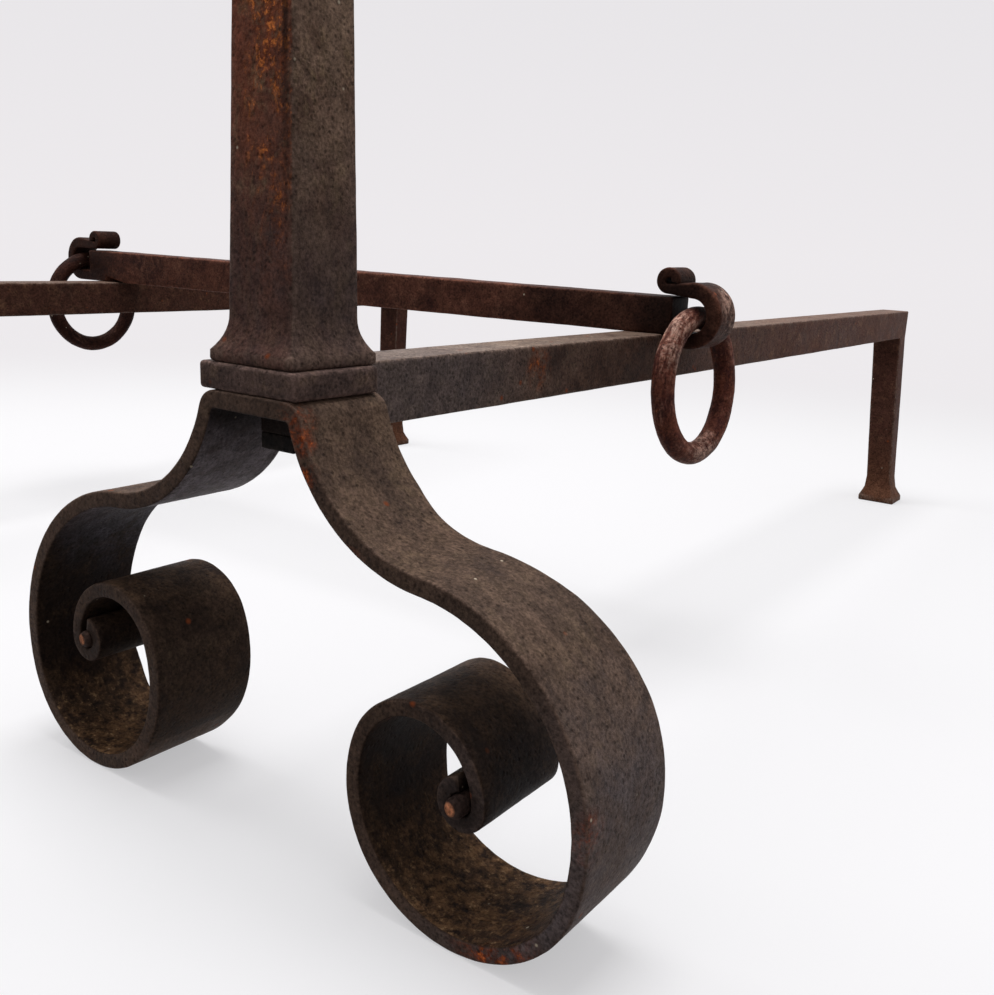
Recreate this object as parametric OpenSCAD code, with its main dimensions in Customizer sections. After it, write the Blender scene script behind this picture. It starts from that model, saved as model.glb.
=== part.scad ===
// Pair of wrought-iron andirons with a loose crossbar and two hanging rings.
// Millimetres. +X to the right, +Y to the back of the hearth, +Z up, floor at z = 0.
// The origin is on the floor under the middle of the whole set.
// Each andiron is drawn round its own post axis, with its outer side towards +X.

/* [Set] */
// Distance between the two post axes
pair_spacing = 412; // [380:1:600]
// How far the left andiron stands ahead of the right one
left_ahead = 121.5; // [0:0.5:150]

/* [Scroll leg] */
// Width of the strap, front to back
strap_w = 36.4; // [30:0.2:42]
// Thickness of the strap
strap_t = 5.6; // [4:0.1:6.5]
// Half length of the flat at the top of the arch
arch_flat = 15; // [14:0.1:24]
// Radius of the bend beside the flat
shoulder_r = 4.2; // [4:0.1:8]
// Turn of that bend, in degrees
shoulder_turn = 73.7; // [68:0.1:78]
// Radius of the hollow below it
hollow_r = 51; // [44:0.1:60]
// Turn of the hollow, in degrees
hollow_turn = 68.5; // [62:0.1:74]
// Straight run between the hollow and the scroll
brow_run = 2.3; // [0.5:0.1:10]
// Level down to which the strap keeps its own width, above its widened parts
wide_top = 112; // [100:1:134]
// Height over which its rear edge spreads backwards below that level
wide_top_ramp = 46; // [10:1:60]

/* [Outer scroll] */
// Radius of the upper bend
outer_brow_r = 57.3; // [54:0.1:60]
// Turn of the upper bend, in degrees
outer_brow_turn = 98.9; // [96:0.1:102]
// Radius of the lower bend
outer_heel_r = 37.6; // [36:0.1:39]
// Turn of the lower bend, in degrees
outer_heel_turn = 122.8; // [120:0.1:126]
// Radius of the inner rise
outer_rise_r = 36.7; // [36:0.1:39]
// Turn of the inner rise, in degrees
outer_rise_turn = 66.2; // [62:0.1:69]
// Thickness of the strap at the end of the inner rise
outer_rise_t = 4.7; // [4:0.1:5.6]
// Radius of the inner curl
outer_curl_r = 21.7; // [20.5:0.1:23]
// Turn of the inner curl, in degrees
outer_curl_turn = 157; // [150:0.1:162]
// How far the strap's rear edge is spread backwards from the hollow to the inner rise
outer_spread = 5.4; // [0.5:0.1:6]
// Level at which that spread ends at the bottom
outer_wide_low = 14; // [8:1:20]
// Height over which it ends
outer_wide_ramp = 26; // [10:1:40]

/* [Inner scroll] */
// Radius of the upper bend
inner_brow_r = 59.5; // [56:0.1:62]
// Turn of the upper bend, in degrees
inner_brow_turn = 96.8; // [94:0.1:100]
// Radius of the lower bend
inner_heel_r = 35; // [33.5:0.1:36.5]
// Turn of the lower bend, in degrees
inner_heel_turn = 136.4; // [133:0.1:139]
// Radius of the inner rise
inner_rise_r = 41.9; // [39:0.1:44]
// Turn of the inner rise, in degrees
inner_rise_turn = 49.5; // [46:0.1:53]
// Radius of the inner curl
inner_curl_r = 21.2; // [20:0.1:22.5]
// Turn of the inner curl, in degrees
inner_curl_turn = 162.2; // [156:0.1:168]
// How far the strap's rear edge is spread backwards all along the scroll
inner_spread = 3.1; // [0.5:0.1:6]
// Level at which that spread ends at the bottom
inner_wide_low = 2; // [1:1:12]
// Height over which it ends
inner_wide_ramp = 24; // [10:1:40]

/* [Scroll eye] */
// Thickness of the strap at its rolled end
eye_t = 4.8; // [3:0.1:5]
// Turn of the rolled end round its pin, in degrees
eye_turn = 262; // [200:1:266]
// Radius of the pin
pin_r = 3; // [2:0.1:4]
// How far the outer pin's front end stands out of its rolled end
outer_pin_out = 4.5; // [2:0.1:6]
// How far the inner pin's front end stands out of its rolled end
inner_pin_out = 2.4; // [2:0.1:6]
// Height of the sloping edge round that end
pin_slope = 1; // [0.5:0.1:1.5]
// Radius of the head at the pin's back
pin_head_r = 4.2; // [4:0.1:5.5]
// Height of that head
pin_head_h = 1.2; // [0.6:0.1:2.5]
// Gap between the pin and the rolled end
pin_gap = 0.3; // [0.1:0.05:0.5]

/* [Plinth] */
// Size of the plate along X
plinth_w = 40.4; // [36:0.2:50]
// Size of the plate along Y
plinth_d = 34.6; // [34:0.2:36]
// Thickness of the plate
plinth_h = 8.2; // [5:0.1:9]
// How far the plate is off the post axis, towards the other andiron
plinth_in = 1.2; // [0:0.1:2]
// How far the plate is ahead of the post axis
plinth_ahead = 0.7; // [0:0.1:1]

/* [Post] */
// Side of the foot
post_foot_w = 34.4; // [30:0.2:36]
// Height of the foot's upright edge
post_foot_h = 3.4; // [2:0.1:8]
// Height of the hollow flare above that edge
flare_h = 10.4; // [5:0.1:16]
// Side above the flare
post_w = 26.4; // [22:0.2:28]
// Side at the top
post_top_w = 17.4; // [12:0.2:22]
// Height of the post above the plate
post_h = 287; // [120:1:420]
// Height of the low pyramid on top
post_point_h = 5; // [2:0.5:20]
// Radius of the tenon
tenon_r = 4.5; // [3:0.1:5.5]
// Gap round the tenon in the pieces it goes through
tenon_gap = 0.2; // [0.1:0.05:0.4]

/* [Billet bar] */
// Width of the bar
bar_w = 20.4; // [16:0.2:24]
// Height of the bar
bar_h = 20.7; // [18:0.1:30]
// From the post axis to the bar's rear face
bar_rear = 645.8; // [420:0.2:800]
// Width of the rear leg at its foot
leg_w = 18.2; // [14:0.2:24]
// Depth of the rear leg, front to back
leg_d = 15; // [12:0.2:22]
// How far the foot is splayed outwards
leg_out = 7.5; // [0:0.5:12]
// How far the foot is splayed backwards
leg_back = 6; // [0:0.5:12]
// How far the foot's edge stands out on each side
foot_flare = 4.6; // [1:0.1:8]
// Height of the foot's flare
foot_flare_h = 20; // [10:0.5:30]
// Height of the foot's upright edge
foot_edge_h = 4; // [2:0.5:8]
// Width of the tongue under the arch
tongue_w = 14; // [12:0.2:16]

/* [Nut] */
// Side of the nut
nut_w = 14; // [12:0.2:18]
// Height of the nut
nut_h = 5.2; // [4:0.1:8]

/* [Crossbar] */
// Height of the crossbar at its right end
right_end_h = 17.1; // [15:0.1:22]
// Height of the crossbar's top above the bars at its left end
left_end_h = 20.4; // [17:0.1:24]
// Depth of the crossbar, front to back
cross_d = 18; // [16:0.1:24]
// From the right post axis to the crossbar's front face
cross_y = 218.75; // [120:0.25:300]
// From the right billet bar's axis to the crossbar's end
right_end = 14.2; // [12.5:0.1:14.6]
// From the left billet bar's axis to the crossbar's end
left_end = 21; // [15:0.1:24]
// How far the underside is raised at its left end, above the hook's strap
left_rise = 3.4; // [1.5:0.1:6]
// From the left billet bar's axis to where the underside is down again
left_slope_x = 18; // [11:0.5:60]

/* [Hooks] */
// Width of the hooks' strap
hook_w = 17.4; // [10:0.2:18]
// Thickness of the hooks' strap
hook_t = 7; // [5:0.1:7.2]
// Thickness of the strap at its rolled tips
tip_t = 4.6; // [3:0.1:5.5]
// Radius of the rolled tips, to their outside
tip_r = 6; // [5.8:0.1:8]
// Turn of the rolled tips, in degrees
tip_turn = 250; // [90:1:270]
// Length of the right hook's strap inside the crossbar's end
right_root = 4; // [3:0.1:5]
// Turn of the right hook where it leaves the crossbar, in degrees
right_lead = 60; // [50:1:70]
// Radius of that turn, to the middle of the strap
right_lead_r = 6; // [5:0.1:7]
// From the right billet bar's axis to the axis of its hook's loop
right_hook_x = 23.3; // [22.5:0.1:30]
// How far the right hook dips below the crossbar
right_hook_dip = 5.8; // [4:0.1:7]
// From the right billet bar's axis to the axis of the rolled tip
right_tip_x = 11.2; // [4:0.1:12]
// From the left billet bar's axis to the axis of its hook's loop
left_hook_x = 32.8; // [31:0.1:38]
// How far the left hook rises above the crossbar before it comes down to it
left_hook_lift = 1.3; // [0:0.1:4]
// From the left billet bar's axis to the inner end of its hook's strap
left_root_x = 2; // [-4:0.1:10]
// From the left billet bar's axis to the axis of the rolled tip
left_tip_x = 16; // [4:0.1:17]

/* [Rings] */
// Radius of the right ring, to the middle of its stock
right_ring_r = 31.2; // [28:0.1:36]
// Diameter of the right ring's stock
right_stock = 10.4; // [7:0.1:10.8]
// From the right billet bar's axis to the stock of the ring that hangs there
right_ring_x = 23; // [20.4:0.1:23]
// How far the right ring swings outwards as it hangs, in degrees
right_ring_lean = 4; // [0:0.5:10]
// How far it is twisted out of line with the bars, in degrees
right_ring_twist = 1.6; // [0:0.1:8]
// Radius of the left ring, to the middle of its stock
left_ring_r = 29.6; // [27:0.1:33]
// Diameter of the left ring's stock
left_stock = 9.8; // [7:0.1:10]
// Gap between a ring and the hook it hangs in
ring_gap = 0.3; // [0.1:0.05:0.5]

/* [Hidden] */
// Largest turn between two points of a bend, in degrees
bend_step = 6;
round_sides = 64;
ring_sides = 96;
// What a cutting shape reaches past the piece it cuts
past = 1;

// A strap is followed from a pose [x, z, heading, thickness]. A run is [radius, turn, thickness at its
// end], turning clockwise for a positive turn, or [length, 0, thickness] where it is straight.
function along(pose, run, part) =
    let (
        heading = pose[2] - run[1] * part,
        t = pose[3] + (run[2] - pose[3]) * part,
        k = run[0] * sign(run[1])
    )
    run[1] == 0
        ? [pose[0] + run[0] * part * cos(heading), pose[1] + run[0] * part * sin(heading), heading, t]
        : [pose[0] + k * (sin(pose[2]) - sin(heading)), pose[1] - k * (cos(pose[2]) - cos(heading)), heading, t];
function steps(run) = max(1, ceil(abs(run[1]) / bend_step));
function poses(pose, runs, i = 0) =
    i == len(runs)
        ? [pose]
        : concat(
              [for (j = [0:steps(runs[i]) - 1]) along(pose, runs[i], j / steps(runs[i]))],
              poses(along(pose, runs[i], 1), runs, i + 1)
          );
// The strap's edge on one side of its path: side is 1 on the left of the heading, -1 on the right
function edge(path, side) = [
    for (p = path) [p[0] - side * sin(p[2]) * p[3] / 2, p[1] + side * cos(p[2]) * p[3] / 2]
];
function reversed(list) = [for (i = [len(list) - 1:-1:0]) list[i]];
function mirrored(list) = [for (p = list) [-p[0], p[1]]];
function without_first(list) = [for (i = [1:len(list) - 1]) list[i]];

eye_r = pin_r + pin_gap + eye_t / 2;
arch_runs = [
    [arch_flat, 0, strap_t],
    [shoulder_r, shoulder_turn, strap_t],
    [hollow_r, -hollow_turn, strap_t],
    [brow_run, 0, strap_t]
];
outer_runs = concat(arch_runs, [
    [outer_brow_r, outer_brow_turn, strap_t],
    [outer_heel_r, outer_heel_turn, strap_t],
    [outer_rise_r, outer_rise_turn, outer_rise_t],
    [outer_curl_r, outer_curl_turn, eye_t]
]);
inner_runs = concat(arch_runs, [
    [inner_brow_r, inner_brow_turn, strap_t],
    [inner_heel_r, inner_heel_turn, strap_t],
    [inner_rise_r, inner_rise_turn, strap_t],
    [inner_curl_r, inner_curl_turn, eye_t]
]);
// Both paths start at the middle of the arch's flat, and the lower scroll sets the height of the arch
arch_start = [0, 0, 0, strap_t];
eye_run = [eye_r, eye_turn, eye_t];
// Number of steps along the first few runs
function count(runs, last) = last < 0 ? 0 : steps(runs[last]) + count(runs, last - 1);
outer_path = poses(arch_start, concat(outer_runs, [eye_run]));
inner_path = poses(arch_start, concat(inner_runs, [eye_run]));
function lowest(path) = min([for (p = edge(path, 1)) p[1]]);
arch_mid_z = -min(lowest(outer_path), lowest(inner_path));
// Middle of the rolled end that follows a scroll's runs
function eye(runs) =
    let (path = poses(arch_start, runs), end = path[len(path) - 1])
    [end[0] + eye_r * sin(end[2]), arch_mid_z + end[1] - eye_r * cos(end[2])];
outer_eye = eye(outer_runs);
inner_eye = eye(inner_runs);

arch_top = arch_mid_z + strap_t / 2;
arch_under = arch_mid_z - strap_t / 2;
deck_z = arch_top + plinth_h;
bar_under = deck_z - bar_h;
nut_under = bar_under - nut_h;
bar_front = strap_w / 2;
foot_back = bar_rear + leg_back + foot_flare;
tenon_hole_r = tenon_r + tenon_gap;

cross_mid_y = cross_y + cross_d / 2;
hook_mid_t = hook_t / 2;
tip_mid_r = tip_r - tip_t / 2;
right_top = deck_z + right_end_h;
left_top = deck_z + left_end_h;
// Lowest and highest level of each hook's loop, at the middle of its strap
right_low = deck_z - right_hook_dip + hook_mid_t;
right_high = right_top + hook_mid_t;
left_low = deck_z + hook_mid_t;
left_high = left_top + left_hook_lift + hook_mid_t;
left_tilt = asin(left_hook_lift / (left_hook_x - left_tip_x));
// A ring's round inside stands this far off the flat of the hook's strap, in the middle of its width
function ring_sag(ring_r, stock) =
    let (in_r = ring_r - stock / 2) in_r - sqrt(in_r * in_r - hook_w * hook_w / 4);
// Level of a ring's stock where it lies on the hook's strap
function stock_z(hook_low, ring_r, stock) =
    hook_low + hook_mid_t + ring_gap + ring_sag(ring_r, stock) + stock / 2;

back_y = foot_back;
front_y = -left_ahead - strap_w / 2 - max(outer_pin_out, inner_pin_out);
mid_y = (front_y + back_y) / 2;

// Puts a piece of an andiron in its place in the set
module on_right() {
    translate([pair_spacing / 2, -mid_y, 0]) children();
}

module on_left() {
    translate([-pair_spacing / 2, -mid_y - left_ahead, 0]) mirror([1, 0, 0]) children();
}

// Gives a flat outline drawn in X and Z a depth along Y, from y = 0 backwards
module deep(depth) {
    translate([0, depth, 0]) rotate([90, 0, 0]) linear_extrude(depth) children();
}

// A block whose width and depth follow two outlines: one in X and Z, the other in Y and Z
module two_way(size) {
    intersection() {
        translate([0, -size / 2, 0]) deep(size) children(0);
        translate([-size / 2, 0, 0]) rotate([90, 0, 90]) linear_extrude(size) children(1);
    }
}

module tenon_hole(low, high) {
    translate([0, 0, low - past]) cylinder(r=tenon_hole_r, h=high - low + 2 * past, $fn=round_sides);
}

// The part of a strap that is hammered wider than the rest, with a ramp at its low end and its high end
module widened(path, spread, low, ramp) {
    rear = strap_w / 2;
    intersection() {
        translate([0, 0, arch_mid_z]) deep(rear + spread + past)
            polygon(concat(edge(path, 1), reversed(edge(path, -1))));
        rotate([90, 0, 90]) linear_extrude(pair_spacing) polygon([
            [0, low], [rear, low], [rear + spread, low + ramp], [rear + spread, wide_top - wide_top_ramp],
            [rear, wide_top], [0, wide_top]
        ]);
    }
}

module scroll_leg() {
    foot = count(outer_runs, 4) + round(steps(outer_runs[5]) / 2);
    down = [for (i = [1:foot]) outer_path[i]];
    up = [for (i = [foot:count(outer_runs, 7)]) outer_path[i]];
    curl_left = outer_eye[0] + eye_r - 2 * outer_curl_r;
    rear = strap_w / 2;
    color("#4a423c") difference() {
        union() {
            translate([0, -strap_w / 2, arch_mid_z]) deep(strap_w)
                polygon(concat(
                    reversed(mirrored(without_first(edge(inner_path, 1)))), edge(outer_path, 1),
                    reversed(edge(outer_path, -1)), mirrored(without_first(edge(inner_path, -1)))
                ));
            widened(down, outer_spread, outer_wide_low, outer_wide_ramp);
            intersection() {
                widened(up, outer_spread, outer_wide_low, outer_wide_ramp);
                linear_extrude(arch_mid_z) polygon([
                    [0, 0], [0, rear + outer_spread], [curl_left, rear + outer_spread], [outer_eye[0], rear],
                    [outer_eye[0], 0]
                ]);
            }
            mirror([1, 0, 0])
                widened(without_first(inner_path), inner_spread, inner_wide_low, inner_wide_ramp);
        }
        tenon_hole(arch_under, arch_top);
    }
}

// Pin through a rolled end; the rear edge of the strap there is spread back as told
module eye_pin(out, spread) {
    front = strap_w / 2 + out;
    rear = strap_w / 2 + spread;
    rotate([90, 0, 0]) {
        translate([0, 0, -rear]) cylinder(r=pin_r, h=rear + front - pin_slope, $fn=round_sides);
        translate([0, 0, front - pin_slope])
            cylinder(r1=pin_r, r2=pin_r - pin_slope, h=pin_slope, $fn=round_sides);
        translate([0, 0, -rear - pin_head_h]) cylinder(r=pin_head_r, h=pin_head_h, $fn=round_sides);
    }
}

module eye_pins() {
    color("#8a5a3c") {
        translate([outer_eye[0], 0, outer_eye[1]]) eye_pin(outer_pin_out, 0);
        translate([-inner_eye[0], 0, inner_eye[1]]) eye_pin(inner_pin_out, inner_spread);
    }
}

module plinth() {
    color("#4d4540") difference() {
        translate([-plinth_w / 2 - plinth_in, -plinth_d / 2 - plinth_ahead, arch_top])
            cube([plinth_w, plinth_d, plinth_h]);
        tenon_hole(arch_top, deck_z);
    }
}

// Half of the post's outline: foot edge, hollow flare, taper and low point
module post_outline() {
    foot = post_foot_w / 2;
    shaft = post_w / 2;
    top = post_top_w / 2;
    sweep = 2 * atan((foot - shaft) / flare_h);
    flare_r = flare_h / sin(sweep);
    flare = [
        for (part = [1:-0.125:0]) let (a = sweep * part)
            [shaft + flare_r * (1 - cos(a)), post_foot_h + flare_h - flare_r * sin(a)]
    ];
    right = concat([[foot, 0]], flare, [[top, post_h - post_point_h], [0, post_h]]);
    polygon(concat(right, reversed(mirrored([for (i = [0:len(right) - 2]) right[i]]))));
}

module post() {
    color("#524841") {
        translate([0, 0, deck_z]) two_way(post_foot_w + 2 * past) {
            post_outline();
            post_outline();
        }
        translate([0, 0, nut_under]) cylinder(r=tenon_r, h=deck_z - nut_under + past, $fn=round_sides);
    }
}

// Rear leg's outline: a top of one width that runs down to a splayed, flared foot
module leg_outline(top_low, top_high, foot_low, foot_high) {
    rise = bar_under - foot_flare_h;
    function at(top, foot) = foot + (top - foot) * foot_flare_h / (rise + foot_flare_h);
    flare_low = at(top_low, foot_low);
    flare_high = at(top_high, foot_high);
    polygon([
        [top_low, deck_z], [top_low, bar_under], [flare_low, foot_flare_h],
        [foot_low - foot_flare * 0.75, foot_edge_h + foot_flare / 2], [foot_low - foot_flare, foot_edge_h],
        [foot_low - foot_flare, 0], [foot_high + foot_flare, 0], [foot_high + foot_flare, foot_edge_h],
        [foot_high + foot_flare * 0.75, foot_edge_h + foot_flare / 2], [flare_high, foot_flare_h],
        [top_high, bar_under], [top_high, deck_z]
    ]);
}

module billet_bar() {
    tongue_t = arch_under - bar_under;
    color("#55473f") {
        translate([-bar_w / 2, bar_front, bar_under]) cube([bar_w, bar_rear - bar_front, bar_h]);
        difference() {
            translate([-tongue_w / 2, -nut_w / 2, bar_under])
                cube([tongue_w, bar_front + nut_w / 2 + past, tongue_t]);
            tenon_hole(bar_under, arch_under);
        }
        intersection() {
            deep(foot_back + past)
                leg_outline(-bar_w / 2, bar_w / 2, leg_out - leg_w / 2, leg_out + leg_w / 2);
            translate([-2 * bar_w, 0, 0]) rotate([90, 0, 90]) linear_extrude(4 * bar_w)
                leg_outline(bar_rear - leg_d, bar_rear, bar_rear + leg_back - leg_d, bar_rear + leg_back);
        }
    }
}

module nut() {
    color("#3a3431") difference() {
        translate([-nut_w / 2, -nut_w / 2, nut_under]) cube([nut_w, nut_w, nut_h]);
        tenon_hole(nut_under, bar_under);
    }
}

// Strap along a path in X and Z, in the middle of the crossbar's depth
module hook(path) {
    translate([0, cross_mid_y - hook_w / 2, 0]) deep(hook_w)
        polygon(concat(edge(path, 1), reversed(edge(path, -1))));
}

// The right hook leaves the crossbar's end downwards; x is counted from the right billet bar's axis
module right_hook() {
    loop_r = (right_high - right_low) / 2;
    lead_end = right_hook_x - right_lead_r * 0.7;
    lead_x = lead_end - right_lead_r * sin(right_lead);
    lead_z = right_low + right_lead_r * (1 - cos(right_lead));
    hook(poses(
        [lead_x - right_root * cos(right_lead), lead_z + right_root * sin(right_lead), -right_lead, hook_t],
        [
            [right_root, 0, hook_t], [right_lead_r, -right_lead, hook_t], [right_hook_x - lead_end, 0, hook_t],
            [loop_r, -180, hook_t], [right_hook_x - right_tip_x, 0, tip_t], [tip_mid_r, tip_turn, tip_t]
        ]
    ));
}

// The left hook's strap starts under the crossbar; x is counted from the left billet bar's axis
module left_hook() {
    loop_r = (left_high - left_low) / 2;
    hook(poses(
        [left_root_x, left_low, 0, hook_t],
        [
            [left_hook_x - left_root_x, 0, hook_t], [loop_r, -180 - left_tilt, hook_t],
            [(left_hook_x - left_tip_x) / cos(left_tilt), 0, tip_t], [tip_mid_r, tip_turn + left_tilt, tip_t]
        ]
    ));
}

module crossbar() {
    left_axis = -pair_spacing / 2;
    right_axis = pair_spacing / 2;
    color("#5a362d") translate([0, -mid_y, 0]) {
        translate([0, cross_y, 0]) deep(cross_d) polygon([
            [left_axis - left_end, left_top], [left_axis - left_end, deck_z + left_rise],
            [left_axis - left_root_x, deck_z + left_rise], [left_axis + left_slope_x, deck_z],
            [right_axis + right_end, deck_z], [right_axis + right_end, right_top]
        ]);
        translate([right_axis, 0, 0]) right_hook();
        translate([left_axis, 0, 0]) mirror([1, 0, 0]) left_hook();
    }
}

// Ring that hangs from its stock at the origin, in the Y and Z plane
module ring(ring_r, stock) {
    translate([0, 0, -ring_r]) rotate([0, 90, 0])
        rotate_extrude($fn=ring_sides) translate([ring_r, 0]) circle(d=stock, $fn=round_sides);
}

module right_ring() {
    color("#6a4136")
        translate([
            pair_spacing / 2 + right_ring_x, cross_mid_y - mid_y, stock_z(right_low, right_ring_r, right_stock)
        ])
            rotate([0, -right_ring_lean, -right_ring_twist]) ring(right_ring_r, right_stock);
}

module left_ring() {
    color("#5f3c33")
        translate([
            -pair_spacing / 2 - left_hook_x, cross_mid_y - mid_y, stock_z(left_low, left_ring_r, left_stock)
        ])
            ring(left_ring_r, left_stock);
}

on_right() scroll_leg();  // right_scroll_leg
on_right() eye_pins();  // right_eye_pins
on_right() plinth();  // right_plinth
on_right() post();  // right_post
on_right() billet_bar();  // right_billet_bar
on_right() nut();  // right_nut
on_left() scroll_leg();  // left_scroll_leg
on_left() eye_pins();  // left_eye_pins
on_left() plinth();  // left_plinth
on_left() post();  // left_post
on_left() billet_bar();  // left_billet_bar
on_left() nut();  // left_nut
crossbar();
right_ring();
left_ring();
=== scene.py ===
import math

import bmesh
import bpy
from mathutils import Matrix, Vector, noise


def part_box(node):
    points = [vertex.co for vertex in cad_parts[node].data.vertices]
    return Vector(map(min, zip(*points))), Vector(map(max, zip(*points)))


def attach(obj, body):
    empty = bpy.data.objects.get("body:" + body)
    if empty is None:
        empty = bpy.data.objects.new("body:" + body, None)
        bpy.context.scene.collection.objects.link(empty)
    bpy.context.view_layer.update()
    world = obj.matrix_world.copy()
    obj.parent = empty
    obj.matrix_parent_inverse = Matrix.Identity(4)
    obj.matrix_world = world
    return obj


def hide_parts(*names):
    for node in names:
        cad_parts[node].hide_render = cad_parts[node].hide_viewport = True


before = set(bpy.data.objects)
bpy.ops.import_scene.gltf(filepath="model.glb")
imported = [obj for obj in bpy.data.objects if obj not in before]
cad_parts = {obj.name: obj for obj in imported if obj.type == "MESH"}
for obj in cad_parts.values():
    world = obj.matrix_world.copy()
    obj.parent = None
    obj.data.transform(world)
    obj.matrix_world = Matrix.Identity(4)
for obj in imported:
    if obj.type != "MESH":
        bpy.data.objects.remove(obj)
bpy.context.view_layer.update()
MM = 0.001
TOUCH = 0.01 * MM
BLACK = (0.0085, 0.0048, 0.0040)

# --- Camera, placed from the right post's foot ---
CAMERA_FROM_POST = Vector((0.22762, -0.21635, 0.18985))
CAMERA_AZIMUTH = math.radians(35.058)
CAMERA_DOWN = math.radians(13.730)
CAMERA_ROLL = math.radians(2.6187)
CAMERA_LENS = 37.52
CAMERA_SENSOR = 36
CAMERA_NEAR = 0.01

# --- Places taken from the frame ---
ANDIRONS = ("right", "left")
PLATE_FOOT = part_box("right_plinth")[0][2]
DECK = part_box("right_billet_bar")[1][2]

# --- Strap and scrolls, as runs of (radius in mm, clockwise turn, thickness at the end), or with a length
#     and no turn ---
STRAP_W = 36.4 * MM
STRAP_T = 5.6 * MM
BROW_T = 4.9 * MM
RISE_T = 4.7 * MM
EYE_T = 4.8 * MM
STRAP_EDGE = 0.7 * MM
STRAP_STEP = 1.5 * MM
ARCH_RUNS = [(15, 0, STRAP_T), (4.2, 73.7, STRAP_T), (51, -68.5, STRAP_T), (2.3, 0, STRAP_T)]
OUTER_RUNS = [(57.3, 98.9, BROW_T), (37.6, 122.8, STRAP_T), (36.7, 66.2, RISE_T), (21.7, 157, EYE_T)]
INNER_RUNS = [(59.5, 96.8, STRAP_T), (35, 136.4, STRAP_T), (41.9, 49.5, STRAP_T), (21.2, 162.2, EYE_T)]
EYE_RUN = (5.7, 262, EYE_T)
# The rear edge is hammered wider between these levels, and drawn in a little at the waist above
WIDE_TOP = 112 * MM
WIDE_TOP_END = 66 * MM
OUTER_SPREAD = 5.4 * MM
INNER_SPREAD = 3.7 * MM
INNER_FLAT = (2 * MM, 22 * MM)
OUTER_FLAT = (14 * MM, 40 * MM)
WAIST = 2.4 * MM
WAIST_Z = 107 * MM
WAIST_REACH = 13 * MM
HEEL_LIFT = 1.3 * MM
HEEL = (22 * MM, 2 * MM)
# Share of the strap's half thickness from which a vertex counts as on its inner or outer face
SKIN = (0.75, 0.98)

# --- Eye pins ---
PIN_R = 3 * MM
PIN_HEAD_R = 4.2 * MM
OUTER_PIN_OUT = 3.8 * MM
INNER_PIN_OUT = 1.4 * MM
INNER_PIN_BACK = 3.1 * MM
PIN_RIM = 1.6 * MM
PIN_HEAD_T = 1.2 * MM
PIN_HEAD_TAPER = 0.8
COPPER_R = 2.3 * MM
COPPER_SHIFT = 0.8 * MM
PIN_SEGMENTS = 28

# --- Plinth and nut ---
PLATE_EDGE = 1.3 * MM
NUT_EDGE = 0.7 * MM

# --- Post ---
POST_W = 26.4 * MM
POST_TOP_W = 17.4 * MM
POST_FOOT_H = 3.4 * MM
FLARE_H = 10.4 * MM
FLARE_PARTS = (0.86, 0.7, 0.56, 0.42, 0.28, 0.14, 0.0)
POST_POINT_H = 5 * MM
POST_TIP = 1.5 * MM
POST_EDGE = 0.45 * MM
POST_FOOT_EDGE = 1.2 * MM

# --- Billet bar ---
BAR_W = 20.4 * MM
BAR_H = 20.7 * MM
LEG_W = 18.2 * MM
LEG_D = 15 * MM
LEG_OUT = 7.5 * MM
LEG_BACK = 6 * MM
FOOT_FLARE = 4.6 * MM
FOOT_FLARE_H = 20 * MM
FOOT_EDGE_H = 4 * MM
# The foot's levels above its edge as shares of its flare, and how far it has flared there
FOOT_PROFILE = ((1.6, 0.22), (0.8, 0.58), (0.0, 1.0))
TONGUE_W = 14 * MM
TONGUE_LAP = 2 * MM
BAR_EDGE = 0.9 * MM
TONGUE_EDGE = 0.6 * MM

# --- Crossbar, hooks and rings ---
CROSS_RIGHT_H = 17.1 * MM
CROSS_LEFT_H = 20.4 * MM
CROSS_D = 18 * MM
CROSS_EDGE = 1.0 * MM
RIGHT_END = 14.2 * MM
LEFT_END = 21 * MM
LEFT_RISE = 3.4 * MM
LEFT_ROOT_X = 2 * MM
LEFT_SLOPE_X = 18 * MM
HOOK_W = 17.4 * MM
HOOK_T = 7 * MM
HOOK_EDGE = 1.2 * MM
HOOK_END_EDGE = 0.9 * MM
HOOK_STEP = 1.1 * MM
TIP_T = 4.6 * MM
TIP_R = 6 * MM
TIP_TURN = 280
RIGHT_RING_R = 31.2 * MM
RIGHT_STOCK = 10.4 * MM
RIGHT_RING_LEAN = 4
RIGHT_RING_TWIST = 1.6
LEFT_RING_R = 29.6 * MM
LEFT_STOCK = 9.8 * MM
RING_SEGMENTS = 28
RING_STEPS = 128

# --- Finish of all iron ---
PATTERN_STEP = 1.37
BUMP_STRENGTH = 0.7
BUMP_DEPTH = 1.0 * MM
SPECULAR = 0.03

# --- Studio ---
FLOOR_HALF = 12
BACKDROP = (0.800, 0.783, 0.805)
BACKDROP_LOW = (0.850, 0.825, 0.845)
BACKDROP_RISE = 0.25
PAPER = (0.925, 0.920, 0.940)
PAPER_BOUNCE = (0.08, 0.078, 0.076)
PAPER_GLOW = 0.5
RUN_OUT = (1.05, 1.9)
SKY = (1.0, 0.985, 0.97)
SKY_STRENGTH = (0.22, 0.66)
LAMPS = (("top_light", (0.15, 0.0, 1.7), 0.9, 16), ("left_light", (-0.9, -0.3, 1.5), 0.8, 6))
LAMP_AIM = Vector((0, 0, 0.1))


def corners(node):
    low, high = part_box(node)
    return Vector(low), Vector(high)


def middle(node):
    low, high = corners(node)
    return (low + high) / 2


def outwards(side):
    """The way out from the middle of the set, along X"""
    return 1 if side == "right" else -1


def camera_place():
    post_axis = middle("right_post")
    return Vector((post_axis.x, post_axis.y, 0)) + CAMERA_FROM_POST


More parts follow.
